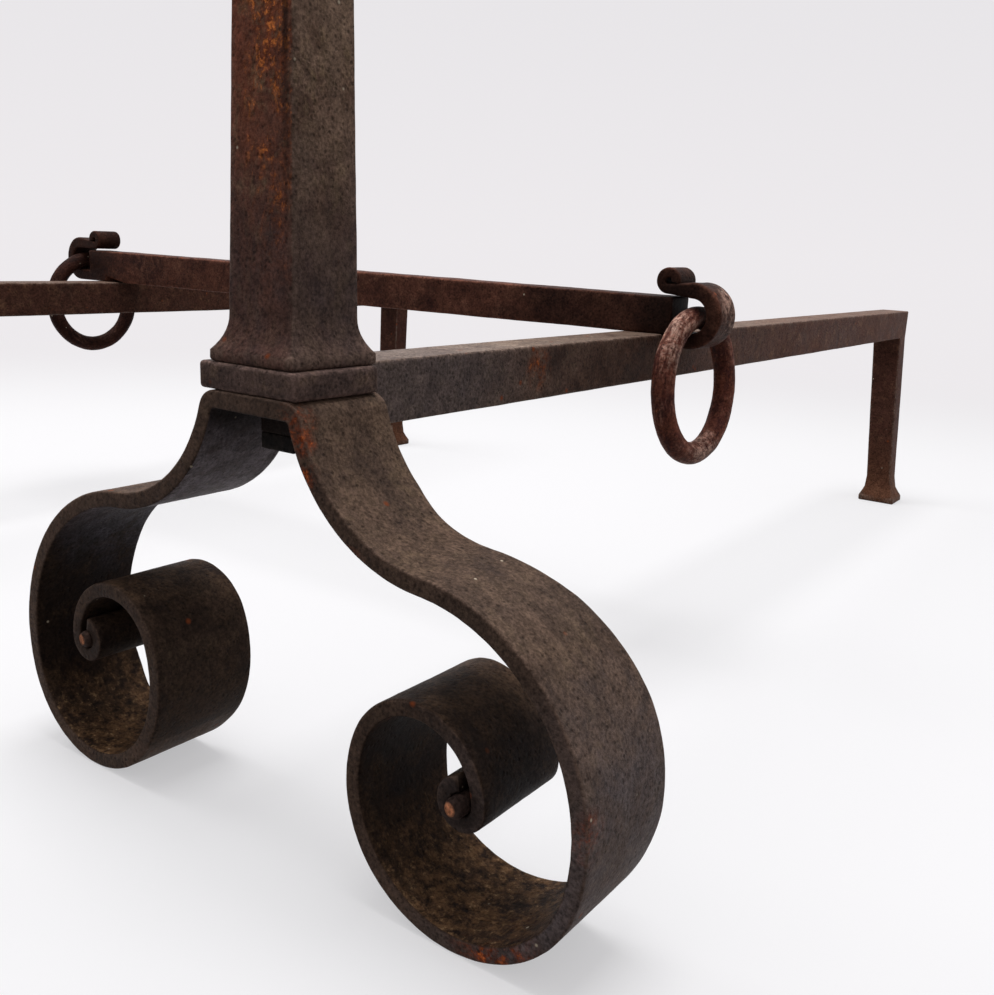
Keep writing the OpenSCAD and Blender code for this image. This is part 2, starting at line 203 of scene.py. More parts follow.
def fade(value, start, end):
    """0 up to start, 1 from end on, and smooth between them"""
    part = min(1, max(0, (value - start) / (end - start)))
    return part * part * (3 - 2 * part)


# ---------------------------------------------------------------- mesh making


def faces_of(geom):
    return [item for item in geom if isinstance(item, bmesh.types.BMFace)]


def verts_of(geom):
    return [item for item in geom if isinstance(item, bmesh.types.BMVert)]


def turned(bm, degrees, axis):
    bmesh.ops.rotate(bm, matrix=Matrix.Rotation(math.radians(degrees), 3, axis), verts=bm.verts)


def moved(bm, way):
    bmesh.ops.translate(bm, vec=way, verts=bm.verts)


def section(bm, width, height, edge, across, up):
    """A rounded rectangle that faces +X: width along Y, height along Z"""
    bmesh.ops.create_grid(bm, x_segments=1, y_segments=1, size=0.5)
    bmesh.ops.scale(bm, vec=(height, width, 1), verts=bm.verts)
    turned(bm, 90, "Y")
    bmesh.ops.bevel(bm, geom=bm.verts[:], offset=edge, offset_type="OFFSET", segments=3, profile=0.5,
                    affect="VERTICES", material=-1)
    for size, cuts in ((width, across), (height, up)):
        sides = [e for e in bm.edges if abs(e.calc_length() - (size - 2 * edge)) < TOUCH]
        bmesh.ops.subdivide_edges(bm, edges=sides, cuts=cuts)
    bmesh.ops.dissolve_faces(bm, faces=bm.faces[:], use_verts=False)
    face = bm.faces[:][0]
    face.normal_update()
    if face.normal.x < 0:
        face.normal_flip()
    return face


def drawn_out(bm, face):
    """Extrudes a face, without leaving it inside; gives the new face and its vertices"""
    inside = any(len(e.link_faces) > 1 for e in face.edges)
    geom = bmesh.ops.extrude_face_region(bm, geom=[face])["geom"]
    if inside and face.is_valid:
        bmesh.ops.delete(bm, geom=[face], context="FACES_ONLY")
    return faces_of(geom)[0], verts_of(geom)


class Strap:
    """A bar that is drawn out from its first section along runs in the X and Z plane"""

    def __init__(self, width, thickness, edge, place, heading, across, up, step):
        self.bm = bmesh.new()
        self.run_mark = self.bm.verts.layers.int.new("run")
        self.side_mark = self.bm.verts.layers.float.new("side")
        self.end = section(self.bm, width, thickness, edge, across, up)
        for v in self.bm.verts:
            v[self.side_mark] = v.co.z / (thickness / 2)
        self.place = Vector((place[0], 0, place[1]))
        self.heading = math.radians(heading)
        self.thickness = thickness
        self.step = step
        self.number = 0
        turned(self.bm, -heading, "Y")
        moved(self.bm, self.place)

    def grow(self, move, thickness):
        self.end, verts = drawn_out(self.bm, self.end)
        bmesh.ops.transform(self.bm, matrix=move, verts=verts)
        self.place = move @ self.place
        normal = Vector((-math.sin(self.heading), 0, math.cos(self.heading)))
        squeeze = Matrix.Scale(thickness / self.thickness, 4, normal)
        bmesh.ops.transform(self.bm, matrix=squeeze, space=Matrix.Translation(-self.place), verts=verts)
        self.thickness = thickness
        for v in verts:
            v[self.run_mark] = self.number

    def run(self, size, turn, thickness):
        first = self.thickness
        if turn == 0:
            steps = max(1, math.ceil(size / self.step))
            ahead = Vector((math.cos(self.heading), 0, math.sin(self.heading))) * (size / steps)
            for i in range(steps):
                self.grow(Matrix.Translation(ahead), first + (thickness - first) * (i + 1) / steps)
            return
        angle = math.radians(turn)
        steps = max(1, math.ceil(size * abs(angle) / self.step), math.ceil(abs(turn) / 9))
        right = Vector((math.sin(self.heading), 0, -math.cos(self.heading)))
        centre = self.place + right * size * (1 if turn > 0 else -1)
        spin = Matrix.Rotation(angle / steps, 4, "Y")
        spin = Matrix.Translation(centre) @ spin @ Matrix.Translation(-centre)
        for i in range(steps):
            self.heading -= angle / steps
            self.grow(spin, first + (thickness - first) * (i + 1) / steps)

    def follow(self, runs):
        for self.number, run in enumerate(runs):
            self.run(*run)
        return self.bm


def in_metres(runs):
    return [(size * MM, turn, thickness) for size, turn, thickness in runs]


def walked(runs, heading):
    """Where a path that starts at zero ends"""
    place = Vector((0, 0, 0))
    angle = math.radians(heading)
    for size, turn, _ in runs:
        if turn == 0:
            place += Vector((math.cos(angle), 0, math.sin(angle))) * size
        else:
            centre = place + Vector((math.sin(angle), 0, -math.cos(angle))) * size * (1 if turn > 0 else -1)
            place = centre + Matrix.Rotation(math.radians(turn), 3, "Y") @ (place - centre)
            angle -= math.radians(turn)
    return place


def backwards(runs, first_thickness):
    """The same runs from their end to their start"""
    starts = [first_thickness] + [run[2] for run in runs[:-1]]
    return [(run[0], run[1], start) for run, start in reversed(list(zip(runs, starts)))]


def cut_across(bm, place, normal):
    bmesh.ops.bisect_plane(bm, geom=bm.verts[:] + bm.edges[:] + bm.faces[:], plane_co=place, plane_no=normal)


def forge(bm, dent, dent_size, grain, grain_size, seed):
    """Hammers the surface, in mm: soft dents and a fine grain, both as much outwards as inwards"""
    bm.normal_update()
    shift = Vector((seed, seed * 0.7, -seed))
    moves = []
    for v in bm.verts:
        soft = noise.noise(v.co / (dent_size * MM) + shift)
        fine = noise.noise(v.co / (grain_size * MM) - shift)
        moves.append(v.normal * (dent * MM * soft + grain * MM * fine) / 2)
    for v, move in zip(bm.verts, moves):
        v.co += move


def refine(bm, longest):
    """Cuts the edges that are longer than this, until none is left"""
    for _ in range(9):
        long_edges = [e for e in bm.edges if e.calc_length() > longest]
        if not long_edges:
            break
        bmesh.ops.subdivide_edges(bm, edges=long_edges, cuts=1, use_grid_fill=True)


def block(bm, low, high):
    """A box between two corners"""
    low, high = Vector(low), Vector(high)
    bmesh.ops.create_cube(bm, size=1)
    bmesh.ops.scale(bm, vec=high - low, verts=bm.verts)
    moved(bm, (low + high) / 2)


def round_edges(bm, edges, radius, segments=3):
    bmesh.ops.bevel(bm, geom=edges, offset=radius, offset_type="OFFSET", segments=segments, profile=0.5,
                    affect="EDGES", material=-1, clamp_overlap=True)


def sharp_edges(bm, angle):
    return [e for e in bm.edges if len(e.link_faces) == 2 and e.calc_face_angle(0) > math.radians(angle)]


def add(bm, other):
    """Puts one mesh into another"""
    mesh = bpy.data.meshes.new("part")
    other.to_mesh(mesh)
    other.free()
    bm.from_mesh(mesh)
    bpy.data.meshes.remove(mesh)


def piece(bm, name, node, body, material):
    """Puts a finished mesh in the scene, inside its node's box and on its body"""
    low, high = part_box(node)
    for v in bm.verts:
        v.co = [min(max(v.co[i], low[i]), high[i]) for i in range(3)]
    bmesh.ops.recalc_face_normals(bm, faces=bm.faces)
    mesh = bpy.data.meshes.new(name)
    bm.to_mesh(mesh)
    bm.free()
    for polygon in mesh.polygons:
        polygon.use_smooth = True
    obj = bpy.data.objects.new(name, mesh)
    bpy.context.scene.collection.objects.link(obj)
    mesh.materials.append(material)
    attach(obj, body)
    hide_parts(node)


def on_part(bm, side, part, name, material):
    """Puts a finished mesh in the scene as a part of one andiron"""
    piece(bm, side + "_" + name, side + "_" + part, side + "_andiron", material)


def mirror_x(bm):
    bmesh.ops.scale(bm, vec=(-1, 1, 1), verts=bm.verts)
    bmesh.ops.reverse_faces(bm, faces=bm.faces)


def on_andiron(bm, side):
    """Moves a piece from its own post axis to its andiron, mirrored on the left one"""
    if side == "left":
        mirror_x(bm)
    axis = middle(side + "_post")
    moved(bm, (axis.x, axis.y, 0))


# ---------------------------------------------------------------- materials


class Nodes:
    """A node tree, built by naming what goes into each node"""

    def __init__(self, owner):
        owner.use_nodes = True
        owner.node_tree.nodes.clear()
        self.tree = owner.node_tree

    def add(self, kind, inputs, output=None, **settings):
        """Adds a node with its settings, then its values and links; gives one of its outputs"""
        node = self.tree.nodes.new("ShaderNode" + kind)
        for name, value in settings.items():
            setattr(node, name, value)
        for name, value in inputs.items():
            socket = node.inputs[name]
            if isinstance(value, bpy.types.NodeSocket):
                self.tree.links.new(value, socket)
            else:
                socket.default_value = (*value, 1) if socket.type == "RGBA" else value
        return output and node.outputs[output]


class Iron(Nodes):
    """Builds a forged surface, from its base coat to its specks"""

    def __init__(self, name, seed, colour):
        self.material = bpy.data.materials.new(name)
        super().__init__(self.material)
        self.place = self.add("TexCoord", {}, "Object")
        self.normal = self.add("NewGeometry", {}, "Normal")
        self.seed = seed
        self.colour = colour

    def shifted(self, stretch=(1, 1, 1), place=None):
        """The place on the piece, moved so that no two patterns are alike"""
        self.seed += PATTERN_STEP
        shift = (self.seed, self.seed * 1.7, -self.seed)
        return self.add("Mapping", {"Vector": place or self.place, "Location": shift, "Scale": stretch},
                        "Vector")

    def noise(self, scale, detail=4, roughness=0.6, distortion=0.0, stretch=(1, 1, 1), place=None):
        return self.add("TexNoise", {"Vector": self.shifted(stretch, place), "Scale": scale, "Detail": detail,
                                     "Roughness": roughness, "Distortion": distortion}, "Fac")

    def cells(self, scale):
        """How far a place is from the nearest of many scattered points, and that point's chance"""
        distance = self.add("TexVoronoi", {"Vector": self.shifted(), "Scale": scale}, "Distance")
        return distance, self.part(distance.node.outputs["Color"], "X")

    def ramp(self, value, low, high, to_low=0.0, to_high=1.0):
        return self.add("MapRange", {"Value": value, "From Min": low, "From Max": high, "To Min": to_low,
                                     "To Max": to_high}, "Result")

    def math(self, operation, first, second):
        return self.add("Math", {0: first, 1: second}, "Value", operation=operation)

    def times(self, *values):
        result = values[0]
        for value in values[1:]:
            result = self.math("MULTIPLY", result, value)
        return result

    def part(self, vector, axis):
        return self.add("SeparateXYZ", {"Vector": vector}, axis)

    def near(self, centre, radius):
        """1 at a place and 0 from the radius on"""
        distance = self.add("VectorMath", {0: self.place, 1: centre}, "Value", operation="DISTANCE")
        return self.ramp(distance, radius, 0.0)

    def spot(self, centre, radius, full=0.6):
        """Like near, but 1 already at this share of the way in"""
        return self.ramp(self.near(centre, radius), 0.0, full)

    def wound(self, centre, radius):
        """The place on a ring: along its axis, out from its middle, and round it"""
        y = self.math("SUBTRACT", self.part(self.place, "Y"), centre.y)
        z = self.math("SUBTRACT", self.part(self.place, "Z"), centre.z)
        out = self.math("SQRT", self.math("ADD", self.times(y, y), self.times(z, z)), 0)
        turn = self.times(self.math("ARCTAN2", y, self.times(z, -1)), radius)
        return self.add("CombineXYZ", {"X": self.part(self.place, "X"), "Y": out, "Z": turn}, "Vector")

    def height(self, low, high, to_low=0.0, to_high=1.0):
        return self.ramp(self.part(self.place, "Z"), low, high, to_low, to_high)

    def facing(self, axis, low, high):
        return self.ramp(self.part(self.normal, axis), low, high)

    def coat(self, share, colour):
        """Lays a colour over what is there"""
        self.colour = self.add("Mix", {"Factor": share, "A": self.colour, "B": colour}, "Result",
                               data_type="RGBA")

    def shade(self, value):
        """Darkens or lightens what is there"""
        self.colour = self.add("VectorMath", {0: self.colour, "Scale": value}, "Vector", operation="SCALE")

    def finish(self, relief, roughness):
        bump = self.add("Bump", {"Strength": BUMP_STRENGTH, "Distance": BUMP_DEPTH, "Height": relief},
                        "Normal")
        surface = self.add("BsdfPrincipled", {"Base Color": self.colour, "Roughness": roughness,
                                              "Specular IOR Level": SPECULAR, "Normal": bump}, "BSDF")
        self.add("OutputMaterial", {"Surface": surface})
        return self.material


def tinted(colour, share):
    return tuple(share * c for c in colour)


def patterned(name, seed, colour):
    """A new finish in one colour, and the broad and the fine pattern that most pieces share"""
    m = Iron(name, seed, colour)
    return m, m.noise(42, 9, 0.74, 0.3), m.noise(260, 6, 0.72)


def dusted(m, fine, colour, share, low=0.42, high=0.56):
    """Dusty patches"""
    m.coat(m.times(m.ramp(m.noise(75, 8, 0.75, 0.4), 0.46, 0.66), m.ramp(fine, low, high), share), colour)


def worn_edges(m, brown, fine):
    edges = m.ramp(m.add("NewGeometry", {}, "Pointiness"), 0.515, 0.538)
    m.coat(m.times(edges, m.ramp(fine, 0.38, 0.56), 0.75), tinted(brown, 1.8))


def worn_pale(m, places, fine, streaks=None):
    """Pale scraped streaks"""
    for centre, radius in places:
        streaks = streaks or m.noise(110, 8, 0.80, 1.5)
        m.coat(m.times(m.spot(centre, radius, 0.5), m.ramp(streaks, 0.44, 0.58),
                       m.ramp(fine, 0.42, 0.56), 0.9), (0.46, 0.29, 0.23))


def blackened(m, places):
    for centre, radius, share in places:
        m.coat(m.times(m.spot(centre, radius, 0.4), share), BLACK)


def rusting(m, rust, rust_share, places=()):
    """Dark red patches, and bright specks of rust in the middle of them"""
    patches = m.noise(85, 9, 0.78, 0.5)
    share = m.ramp(patches, 1 - rust_share, 1.08 - rust_share)
    for centre, radius in places:
        there = m.times(m.near(centre, radius), m.ramp(patches, 0.42, 0.56), 1.4)
        share = m.math("MAXIMUM", share, there)
    dots = m.noise(430, 5, 0.7)
    dark_red = tuple(c * k for c, k in zip(rust, (0.42, 0.36, 0.45)))
    m.coat(m.times(share, m.ramp(dots, 0.36, 0.52), 0.9), dark_red)
    m.coat(m.times(m.ramp(share, 0.2, 0.9), m.ramp(dots, 0.55, 0.62)), rust)


def dotted(m, scale, share, low, high, colour):
    """Small round dots of a colour, on a share of the cells"""
    distance, chance = m.cells(scale)
    m.coat(m.times(m.ramp(distance, high, low), m.math("GREATER_THAN", chance, 1 - share)), colour)


def grained(m, broad, fine):
    """The last layers of all iron: a grain of light and dark, pits, dots, and the gloss"""
    grain = m.noise(850, 4, 0.75)
    m.shade(m.ramp(grain, 0.36, 0.64, 0.68, 1.74))
    m.shade(m.ramp(m.noise(200, 6, 0.75), 0.36, 0.64, 0.74, 1.30))
    distance, chance = m.cells(620)
    pitted = m.times(m.ramp(distance, 0.45, 0.20), m.math("GREATER_THAN", chance, 0.70))
    m.shade(m.ramp(pitted, 0.0, 1.0, 1.0, 0.60))
    dotted(m, 150, 0.05, 0.06, 0.20, (0.24, 0.060, 0.022))
    dotted(m, 330, 0.022, 0.08, 0.20, (0.62, 0.52, 0.40))
    relief = m.math("ADD", m.times(fine, 0.55), m.times(grain, 0.28))
    relief = m.math("SUBTRACT", relief, m.times(pitted, 0.20))
    return m.finish(relief, m.ramp(broad, 0.35, 0.65, 0.42, 0.60))


def forged_iron(name, dark, brown, dust, rust, rust_share, seed, black_places=(), pale_places=()):
    """Black scale over brown iron, with dusty patches, rust, black places and pale scraped ones"""
    m, broad, fine = patterned(name, seed, dark)
    m.coat(m.ramp(broad, 0.37, 0.60), brown)
    dusted(m, fine, dust, 0.8)
    rusting(m, rust, rust_share)
    worn_edges(m, brown, fine)
    blackened(m, black_places)
    worn_pale(m, pale_places, fine)
    return grained(m, broad, fine)


def strap_iron(side, at, seed):
    """Brown where it faces out, black inside the scrolls with soot and painted shade, with rust powder lying
    in them
    """
    m, broad, fine = patterned("strap_iron_" + side, seed, (0.040, 0.026, 0.021))
    m.coat(m.ramp(broad, 0.35, 0.58), (0.108, 0.069, 0.050))
    dusted(m, fine, (0.160, 0.108, 0.070), 0.6, 0.40, 0.58)
    # Painted shade on the front edge; darker on the flat of the arch and above the outer curl; a painted grey
    # sheen round that curl
    m.coat(m.times(m.facing("Y", -0.6, -0.95), 0.5), (0.062, 0.038, 0.030))
    m.coat(m.times(m.height(0.118, 0.142), 0.25), (0.055, 0.036, 0.028))
    # Painted sheen: bluish grey round the outer curl's low brow
    m.coat(m.times(m.spot(at(112, 0, 30), 0.062), m.ramp(broad, 0.30, 0.60, 0.75, 0.35)),
           (0.128, 0.106, 0.112))
    m.coat(m.times(m.spot(at(80, 0, 84), 0.036), 0.35), (0.060, 0.043, 0.036))
    rusting(m, (0.50, 0.115, 0.030), 0.30,
            [(at(19, -18, 141), 0.008), (at(22, -18, 134), 0.005), (at(24, -18, 125), 0.005),
             (at(41, -18, 102), 0.007), (at(123, -18, 50), 0.010), (at(95, -17, 5), 0.018)])
    worn_edges(m, (0.062, 0.040, 0.031), fine)
    # Black inside with soot and painted shade, with some brown left on it, and a painted highlight where it
    # faces up on the backs of the curls
    soot_and_shade = m.add("Attribute", {}, "Fac", attribute_name="soot_and_shade")
    scroll_floor = m.ramp(soot_and_shade, 0.85, 0.98)
    curl_back = m.times(m.ramp(soot_and_shade, 0.75, 0.80), m.ramp(soot_and_shade, 0.98, 0.88))
    under_arch = m.times(m.ramp(soot_and_shade, 0.72, 0.78), m.height(0.080, 0.105))
    m.coat(m.times(soot_and_shade, m.ramp(broad, 0.30, 0.70, 0.98, 0.80)), BLACK)
    m.coat(m.times(soot_and_shade, m.ramp(m.noise(90, 8, 0.75), 0.48, 0.64), m.ramp(fine, 0.40, 0.56), 0.45),
           (0.080, 0.047, 0.028))
    # Painted highlight: brown where the backs of the curls face up
    m.coat(m.times(curl_back, m.facing("Z", 0.45, 0.95), m.ramp(m.noise(70, 8, 0.78), 0.42, 0.58), 0.65),
           (0.095, 0.057, 0.036))
    # Painted shade round the eyes and pins on the front face
    blackened(m, [(at(81.1, -18, 45.6), 0.009, 0.6), (at(-85.9, -18, 47.9), 0.009, 0.6)])
    # Light from the paper on the arch's underside and on the inner brow, but not beside the nut
    m.coat(m.times(under_arch, m.ramp(m.noise(110, 8, 0.78), 0.42, 0.58, 0.30, 1.0)), (0.220, 0.185, 0.200))
    sheen = m.times(m.ramp(soot_and_shade, 0.88, 0.98), m.spot(at(-92, 12, 84), 0.034))
    m.coat(m.times(sheen, m.ramp(m.noise(140, 8, 0.78), 0.42, 0.60), 0.8), (0.105, 0.092, 0.110))
    # Painted shade: black on the arch's underside beside the nut
    m.coat(m.times(under_arch, m.height(0.120, 0.136), 0.9), BLACK)
    # Powder of rust in the bottom of the scrolls
    powder = m.times(scroll_floor, m.height(0.030, 0.006), m.ramp(fine, 0.38, 0.58))
    m.coat(m.times(powder, m.ramp(m.noise(65, 8, 0.78), 0.38, 0.56), 0.9), (0.152, 0.082, 0.042))
    m.coat(m.times(powder, m.ramp(m.noise(520, 5, 0.75), 0.55, 0.66), 0.85), (0.30, 0.185, 0.100))
    return grained(m, broad, fine)


def bar_iron(side, at, seed):
    """Brown near the post, redder towards the rear leg, and pale on top with a painted highlight; darker on
    the left andiron
    """
    right = side == "right"
    lightness, red_lightness = (1.0, 1.0) if right else (0.5, 0.62)
    red_start, red_end = (40, 420) if right else (-150, 60)
    m, broad, fine = patterned("bar_iron_" + side, seed, tinted((0.034, 0.020, 0.016), lightness))
    m.coat(m.ramp(broad, 0.35, 0.58), tinted((0.108, 0.072, 0.058), lightness))
    dusted(m, fine, (0.170, 0.120, 0.088), 0.8 * lightness)
    along = m.part(m.place, "Y")
    reddish = m.ramp(along, at(0, red_start, 0)[1], at(0, red_end, 0)[1])
    m.coat(m.times(reddish, m.ramp(broad, 0.30, 0.50, 0.5, 1.0), 0.8),
           tinted((0.098, 0.038, 0.026), red_lightness))
    m.coat(m.times(reddish, m.ramp(m.noise(95, 8, 0.76), 0.50, 0.64), m.ramp(fine, 0.42, 0.56)),
           tinted((0.175, 0.088, 0.054), red_lightness))
    # Painted highlight: pale where the bar faces up
    m.coat(m.times(m.facing("Z", 0.75, 0.97), m.ramp(m.noise(130, 8, 0.75), 0.30, 0.55),
                   m.ramp(reddish, 0.0, 1.0, 0.95, 0.40)), (0.255, 0.190, 0.148))
    if right:
        dark_spot, grey_spot = m.spot(at(10, 190, 143), 0.085), m.spot(at(10, 40, 143), 0.075)
        m.coat(m.times(dark_spot, m.ramp(broad, 0.30, 0.60, 0.65, 0.30)), (0.030, 0.015, 0.010))
        m.coat(m.times(grey_spot, 0.4), (0.122, 0.104, 0.110))
    leg = m.times(m.ramp(along, at(0, 605, 0)[1], at(0, 622, 0)[1]), m.height(0.132, 0.120))
    m.coat(m.times(leg, m.ramp(broad, 0.30, 0.60, 0.85, 0.45)), (0.052, 0.020, 0.015))
    m.coat(m.times(leg, m.height(0.060, 0.008), 0.55), (0.150, 0.066, 0.036))
    rusting(m, (0.48, 0.135, 0.035), 0.32 if right else 0.38, [(at(10, 118, 144), 0.010)] if right else [])
    worn_edges(m, (0.105, 0.074, 0.060), fine)
    # Painted shade on the tongue under the arch
    blackened(m, [(at(0, -4, 130), 0.028, 0.95)])
    return grained(m, broad, fine)


def post_iron(side, at, seed):
    """The post is redder towards its top, with orange rust up its front face and along its corner"""
    m = Iron("post_iron_" + side, seed, (0.044, 0.022, 0.020))
    broad = m.noise(32, 9, 0.74, 0.4, stretch=(1, 1, 0.6))
    fine = m.noise(240, 6, 0.74, stretch=(1, 1, 0.7))
    up = m.height(0.165, 0.260)
    front = m.facing("Y", -0.35, -0.85)
    m.coat(m.times(m.ramp(broad, 0.36, 0.62), m.ramp(up, 0.0, 0.6, 0.6, 1.0)), (0.150, 0.090, 0.064))
    m.coat(m.times(front, m.ramp(broad, 0.34, 0.54), m.ramp(up, 0.0, 1.0, 0.35, 1.0)), (0.175, 0.054, 0.032))
    m.coat(m.times(m.ramp(m.noise(60, 8, 0.75, 0.4), 0.47, 0.64), m.ramp(fine, 0.42, 0.56),
                   m.ramp(up, 0.0, 0.7, 0.35, 0.85)), (0.210, 0.145, 0.085))
    side_face = m.ramp(m.math("ABSOLUTE", m.part(m.normal, "X"), 0), 0.35, 0.85)
    m.coat(m.times(side_face, m.ramp(m.noise(70, 8, 0.75), 0.40, 0.60), m.height(0.17, 0.26, 0.4, 0.85)),
           (0.245, 0.162, 0.118))
    m.coat(m.times(m.height(0.225, 0.180), m.ramp(broad, 0.30, 0.60, 0.80, 0.45)), (0.054, 0.038, 0.038))
    # Orange rust: patches beside the corner, a thin seam along it, and a few patches anywhere
    patches = m.noise(60, 9, 0.78, 0.6, stretch=(1, 1, 0.5))
    gap = from_corner(m, side)
    low_patch, high_patch = m.near(at(6, -13, 240), 0.075), m.near(at(4, -13, 365), 0.08)
    corner = m.times(front, m.math("MAXIMUM", low_patch, high_patch), 1.6, m.ramp(gap, 21 * MM, 12 * MM))
    seam = m.times(front, m.ramp(gap, 1.6 * MM, 0.8 * MM), m.height(0.165, 0.23), 1.4)
    share = m.times(m.math("MAXIMUM", corner, seam), m.ramp(patches, 0.45, 0.60))
    share = m.math("MAXIMUM", share, m.ramp(patches, 0.66, 0.76))
    dots = m.noise(420, 5, 0.7)
    m.coat(m.times(share, m.ramp(dots, 0.36, 0.50), 0.9), (0.18, 0.050, 0.024))
    m.coat(m.times(m.ramp(share, 0.2, 0.8), m.ramp(dots, 0.52, 0.59)), (0.54, 0.165, 0.045))
    # A dark line beside the seam
    line = m.times(m.ramp(gap, 4.0 * MM, 2.8 * MM), m.ramp(gap, 0.9 * MM, 1.6 * MM))
    m.coat(m.times(front, line, m.height(0.19, 0.26), m.ramp(broad, 0.30, 0.42)), (0.016, 0.008, 0.006))
    worn_edges(m, (0.075, 0.050, 0.040), fine)
    return grained(m, broad, fine)


def from_corner(m, side):
    """How far a place on the post's front face is from its outer corner"""
    across = m.math("SUBTRACT", m.part(m.place, "X"), middle(side + "_post").x)
    half = m.height(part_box("right_plinth")[1][2] + FLARE_H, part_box("right_post")[1][2] - POST_POINT_H,
                    POST_W / 2, POST_TOP_W / 2)
    return m.math("SUBTRACT", half, m.times(across, outwards(side)))


def crossbar_iron():
    """Red-brown, black near both ends and in the right hook, where the right end face and the hook are
    painted shade, and scraped at the back of that hook
    """
    low, high = corners("crossbar")
    y, right_post_x = (low.y + high.y) / 2, middle("right_post").x
    right_end = (right_post_x + RIGHT_END, y, DECK + 8 * MM)
    right_part = (right_post_x - 22 * MM, y, DECK + 8 * MM)
    hook_middle = (high.x - 14 * MM, y, DECK + 12 * MM)
    left_end = (low.x + 8 * MM, y, DECK + 22 * MM)
    hook_back = (high.x - 2 * MM, y + 9 * MM, DECK + 12 * MM)
    # Painted shade on the right end face, which its hook and ring shade, and in the right hook
    return forged_iron("crossbar_iron", (0.030, 0.011, 0.009), (0.108, 0.043, 0.029), (0.160, 0.072, 0.048),
                       (0.40, 0.10, 0.032), 0.36, 90,
                       black_places=[(right_end, 0.024, 0.7), (right_part, 0.060, 0.55),
                                     (hook_middle, 0.030, 0.45), (left_end, 0.055, 0.75)],
                       pale_places=[(hook_back, 0.017)])


def ring_iron():
    """Red-brown, with black patches and paler streaks where the rings are worn"""
    right, left = middle("right_ring"), middle("left_ring")
    m = Iron("ring_iron", 95, (0.040, 0.013, 0.012))
    broad = m.noise(60, 9, 0.74, 0.4)
    fine = m.noise(300, 6, 0.74)
    m.coat(m.ramp(broad, 0.36, 0.58), (0.135, 0.044, 0.029))
    m.coat(m.times(m.ramp(m.noise(80, 8, 0.75, 0.5), 0.47, 0.62), m.ramp(fine, 0.42, 0.56), 0.7),
           (0.20, 0.075, 0.045))
    streaks = m.noise(300, 8, 0.78, stretch=(1, 1, 0.2), place=m.wound(right, RIGHT_RING_R))
    m.coat(m.times(m.ramp(m.noise(60, 8, 0.75), 0.46, 0.62), m.ramp(streaks, 0.50, 0.60), 0.8),
           (0.40, 0.190, 0.140))
    m.coat(m.times(m.ramp(streaks, 0.47, 0.38), 0.75), (0.030, 0.012, 0.013))
    m.coat(m.times(m.ramp(m.noise(50, 8, 0.75), 0.54, 0.64), m.ramp(fine, 0.38, 0.52), 0.7),
           (0.035, 0.014, 0.016))
    rusting(m, (0.50, 0.16, 0.05), 0.36)
    blackened(m, [((left.x, left.y, left.z + 12 * MM), 0.065, 0.8)])
    reach = RIGHT_RING_R * 0.7
    worn_pale(m, [((right.x, right.y - reach, right.z + reach), 0.022),
                  ((right.x, right.y, right.z - RIGHT_RING_R), 0.02)], fine, streaks)
    return grained(m, broad, fine)


def pin_places(side):
    """The middles of the outer and the inner eye pin, as (x, z)"""
    low, high = corners(side + "_eye_pins")
    out = outwards(side)
    outer, inner = (high.x, low.x) if side == "right" else (low.x, high.x)
    return (outer - out * PIN_HEAD_R, low.z + PIN_HEAD_R), (inner + out * PIN_HEAD_R, high.z - PIN_HEAD_R)


def pin_iron(side, seed):
    """Dark pins with copper-coloured ends"""
    m = Iron("pin_copper_" + side, seed, (0.020, 0.013, 0.012))
    broad = m.noise(120, 8, 0.72)
    fine = m.noise(500, 6, 0.72)
    m.coat(m.ramp(broad, 0.35, 0.60), (0.050, 0.030, 0.024))
    front = middle(side + "_post").y - STRAP_W / 2
    for (x, z), ahead, share in zip(pin_places(side), (OUTER_PIN_OUT, INNER_PIN_OUT), (1.0, 0.75)):
        end = m.near((x - outwards(side) * COPPER_SHIFT, front - ahead, z), COPPER_R)
        m.coat(m.times(m.ramp(end, 0.05, 0.40), m.ramp(fine, 0.30, 0.48), share), (0.50, 0.20, 0.105))
    return grained(m, broad, fine)


def andiron_irons(side):
    """The finishes of one andiron"""
    axis = middle(side + "_post")

    def at(x, y, z):
        """A place in mm: outwards and back from the post's axis, and up from the floor"""
        return (axis.x + outwards(side) * x * MM, axis.y + y * MM, z * MM)

    seed = 0 if side == "right" else 40
    return {
        "strap": strap_iron(side, at, seed + 1),
        "pin": pin_iron(side, seed + 3),
        "plinth": forged_iron("plinth_iron_" + side, (0.040, 0.027, 0.025), (0.106, 0.069, 0.060),
                              (0.145, 0.095, 0.070), (0.42, 0.11, 0.03), 0.28, seed + 5),
        "post": post_iron(side, at, seed + 7),
        "bar": bar_iron(side, at, seed + 9),
        # The nut's near-black colour is painted shade from the arch above it
        "nut": forged_iron("nut_iron_" + side, (0.006, 0.005, 0.005), (0.014, 0.011, 0.010),
                           (0.03, 0.023, 0.02), (0.06, 0.025, 0.015), 0.2, seed + 11),
    }


# ---------------------------------------------------------------- pieces of an andiron


def hammered_wide(bm, run_mark, inner_count, curl_left, eye_x):
    """Spreads the strap's rear edge below the waist, draws it in there, and lifts it at the outer heel"""
    brow = inner_count + len(ARCH_RUNS)
    for v in bm.verts:
        number, z = v[run_mark], v.co.z
        spread = fade(z, WIDE_TOP, WIDE_TOP_END)
        if number < inner_count:
            spread *= INNER_SPREAD * fade(z, *INNER_FLAT)
        else:
            spread *= OUTER_SPREAD * fade(z, *OUTER_FLAT)
            if number == brow + 3:
                spread *= 1 - fade(v.co.x, curl_left, eye_x)
            elif number > brow + 3:
                spread = 0
            else:
                spread -= WAIST * fade(abs(z - WAIST_Z), WAIST_REACH, 0)
        rear = (v.co.y + STRAP_W / 2) / STRAP_W
        v.co.y += spread * rear
        if number == brow + 1:
            v.co.z += HEEL_LIFT * rear * fade(z, *HEEL)


